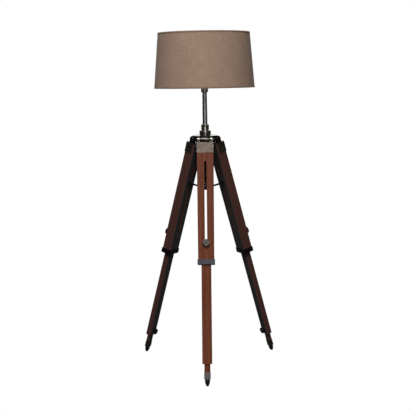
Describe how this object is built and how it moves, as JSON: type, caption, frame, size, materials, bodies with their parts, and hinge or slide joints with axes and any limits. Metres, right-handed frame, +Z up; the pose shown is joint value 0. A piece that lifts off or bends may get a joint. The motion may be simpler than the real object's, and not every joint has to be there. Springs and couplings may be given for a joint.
{
  "type": "tripod floor lamp",
  "caption": "Floor lamp with a drum shade on a pole, carried by a folding tripod of telescoping slotted wooden legs with metal caps, bands and clamp knobs.",
  "frame": {"origin": "on the floor, under the middle of the box round the lamp; the centre line of the pole and shade stands 66.6 mm behind it, towards +Y", "axes": "+Z up; the front leg stands towards -Y, the other two towards +Y right and left"},
  "size_m": [0.6342, 0.5914, 1.5352],
  "materials": {
    "oak_brown_wood": "stained, satin lacquer",
    "dark_nickel": "antique nickel plate, satin",
    "nickel_fittings": "antique nickel plate, knurled",
    "brass_insert": "turned",
    "black_tip": "moulded",
    "black_enamel": "black enamel",
    "black_rubber": "moulded",
    "holder_plastic": "moulded thermoset",
    "bulb_metal": "rolled thread",
    "bulb_glass": "frosted",
    "white_wire": "powder coat",
    "linen_shade": "plain-weave linen",
    "shade_lining": "laminate lining"
  },
  "bodies": {
    "hub": {"hub_casting": "dark_nickel", "pole_collar": "dark_nickel", "collar_set_screw": "nickel_fittings", "pole": "dark_nickel", "cord_bush": "black_rubber", "centre_rod": "nickel_fittings", "holder_cup": "dark_nickel", "holder_body": "holder_plastic", "holder_contact": "brass_insert"},
    "leg_front": {"upper_leg_front": "oak_brown_wood", "leg_cap_front": "dark_nickel", "cap_screws_front": "nickel_fittings", "hinge_bolt_front": "nickel_fittings", "leg_band_front": "dark_nickel", "link_bracket_front": "dark_nickel"},
    "middle_front": {"middle_leg_front": "oak_brown_wood", "clamp_insert_front": "brass_insert"},
    "clamp_front": {"clamp_knob_front": "nickel_fittings"},
    "foot_front": {"foot_leg_front": "oak_brown_wood", "ferrule_front": "dark_nickel", "foot_tip_front": "black_tip"},
    "lock_front": {"foot_knob_front": "nickel_fittings"},
    "link_front": {"spreader_link_front": "black_enamel"},
    "leg_right": {"upper_leg_right": "oak_brown_wood", "leg_cap_right": "dark_nickel", "cap_screws_right": "nickel_fittings", "hinge_bolt_right": "nickel_fittings", "leg_band_right": "dark_nickel", "link_bracket_right": "dark_nickel"},
    "middle_right": {"middle_leg_right": "oak_brown_wood", "clamp_insert_right": "brass_insert"},
    "clamp_right": {"clamp_knob_right": "nickel_fittings"},
    "foot_right": {"foot_leg_right": "oak_brown_wood", "ferrule_right": "dark_nickel", "foot_tip_right": "black_tip"},
    "lock_right": {"foot_knob_right": "nickel_fittings"},
    "link_right": {"spreader_link_right": "black_enamel"},
    "leg_left": {"upper_leg_left": "oak_brown_wood", "leg_cap_left": "dark_nickel", "cap_screws_left": "nickel_fittings", "hinge_bolt_left": "nickel_fittings", "leg_band_left": "dark_nickel", "link_bracket_left": "dark_nickel"},
    "middle_left": {"middle_leg_left": "oak_brown_wood", "clamp_insert_left": "brass_insert"},
    "clamp_left": {"clamp_knob_left": "nickel_fittings"},
    "foot_left": {"foot_leg_left": "oak_brown_wood", "ferrule_left": "dark_nickel", "foot_tip_left": "black_tip"},
    "lock_left": {"foot_knob_left": "nickel_fittings"},
    "link_left": {"spreader_link_left": "black_enamel"},
    "spreader": {"spreader_collar": "nickel_fittings", "link_pins": "nickel_fittings"},
    "nut": {"rod_nut": "nickel_fittings"},
    "shade": {"shade_frame": "white_wire", "shade_fabric": "linen_shade", "shade_liner": "shade_lining"},
    "ring": {"shade_ring": "holder_plastic"},
    "bulb": {"bulb_cap": "bulb_metal", "bulb_glass": "bulb_glass"}
  },
  "joints": [
    {"name": "fold_front", "type": "hinge", "parent": "hub", "child": "leg_front", "pos_m": [0, 0.01819, 1.05595], "axis": [1, 0, 0], "range_deg": [0, 15.9]},
    {"name": "fold_right", "type": "hinge", "parent": "hub", "child": "leg_right", "pos_m": [0.04192, 0.09079, 1.05595], "axis": [-0.5, 0.866, 0], "range_deg": [0, 15.9]},
    {"name": "fold_left", "type": "hinge", "parent": "hub", "child": "leg_left", "pos_m": [-0.04192, 0.09079, 1.05595], "axis": [-0.5, -0.866, 0], "range_deg": [0, 15.9]},
    {"name": "spreader_slide", "type": "slide", "parent": "hub", "child": "spreader", "axis": [0, 0, 1], "range_m": [0, 0.07284]},
    {"name": "link_swing_front", "type": "hinge", "parent": "spreader", "child": "link_front", "pos_m": [0, 0.04959, 0.83289], "axis": [1, 0, 0], "range_deg": [0, 99.37]},
    {"name": "link_swing_right", "type": "hinge", "parent": "spreader", "child": "link_right", "pos_m": [0.01472, 0.07509, 0.83289], "axis": [-0.5, 0.866, 0], "range_deg": [0, 99.37]},
    {"name": "link_swing_left", "type": "hinge", "parent": "spreader", "child": "link_left", "pos_m": [-0.01472, 0.07509, 0.83289], "axis": [-0.5, -0.866, 0], "range_deg": [0, 99.37]},
    {"name": "middle_slide_front", "type": "slide", "parent": "leg_front", "child": "middle_front", "axis": [0, 0.2802, 0.96], "range_m": [0, 0.3642]},
    {"name": "clamp_turn_front", "type": "hinge", "parent": "middle_front", "child": "clamp_front", "pos_m": [0, -0.14341, 0.60933], "axis": [0, -0.96, 0.2802], "continuous": true},
    {"name": "foot_slide_front", "type": "slide", "parent": "middle_front", "child": "foot_front", "axis": [0, -0.2802, -0.96], "range_m": [0, 0.09]},
    {"name": "lock_turn_front", "type": "hinge", "parent": "middle_front", "child": "lock_front", "pos_m": [0, -0.23787, 0.10719], "axis": [0, 0.96, -0.2802], "continuous": true},
    {"name": "middle_slide_right", "type": "slide", "parent": "leg_right", "child": "middle_right", "axis": [-0.2426, -0.1401, 0.96], "range_m": [0, 0.3642]},
    {"name": "clamp_turn_right", "type": "hinge", "parent": "middle_right", "child": "clamp_right", "pos_m": [0.18186, 0.17159, 0.60933], "axis": [0.8313, 0.48, 0.2802], "continuous": true},
    {"name": "foot_slide_right", "type": "slide", "parent": "middle_right", "child": "foot_right", "axis": [0.2426, 0.1401, -0.96], "range_m": [0, 0.09]},
    {"name": "lock_turn_right", "type": "hinge", "parent": "middle_right", "child": "lock_right", "pos_m": [0.26367, 0.21882, 0.10719], "axis": [-0.8313, -0.48, -0.2802], "continuous": true},
    {"name": "middle_slide_left", "type": "slide", "parent": "leg_left", "child": "middle_left", "axis": [0.2426, -0.1401, 0.96], "range_m": [0, 0.3642]},
    {"name": "clamp_turn_left", "type": "hinge", "parent": "middle_left", "child": "clamp_left", "pos_m": [-0.18186, 0.17159, 0.60933], "axis": [-0.8313, 0.48, 0.2802], "continuous": true},
    {"name": "foot_slide_left", "type": "slide", "parent": "middle_left", "child": "foot_left", "axis": [-0.2426, 0.1401, -0.96], "range_m": [0, 0.09]},
    {"name": "lock_turn_left", "type": "hinge", "parent": "middle_left", "child": "lock_left", "pos_m": [-0.26367, 0.21882, 0.10719], "axis": [0.8313, -0.48, -0.2802], "continuous": true},
    {"name": "nut_turn", "type": "hinge", "parent": "hub", "child": "nut", "pos_m": [0, 0.06659, 0.82019], "axis": [0, 0, 1], "continuous": true},
    {"name": "shade_turn", "type": "hinge", "parent": "hub", "child": "shade", "pos_m": [0, 0.06659, 1.30725], "axis": [0, 0, 1], "continuous": true},
    {"name": "ring_turn", "type": "hinge", "parent": "hub", "child": "ring", "pos_m": [0, 0.06659, 1.30725], "axis": [0, 0, 1], "continuous": true},
    {"name": "bulb_turn", "type": "hinge", "parent": "hub", "child": "bulb", "pos_m": [0, 0.06659, 1.29625], "axis": [0, 0, 1], "continuous": true}
  ],
  "couplings": [
    {"joint": "fold_right", "follows": "fold_front", "ratio": 1},
    {"joint": "fold_left", "follows": "fold_front", "ratio": 1},
    {"joint": "spreader_slide", "follows": "fold_front", "m_per_rad": 0.26229},
    {"joint": "link_swing_front", "follows": "fold_front", "ratio": 6.2466},
    {"joint": "link_swing_right", "follows": "fold_front", "ratio": 6.2466},
    {"joint": "link_swing_left", "follows": "fold_front", "ratio": 6.2466}
  ]
}
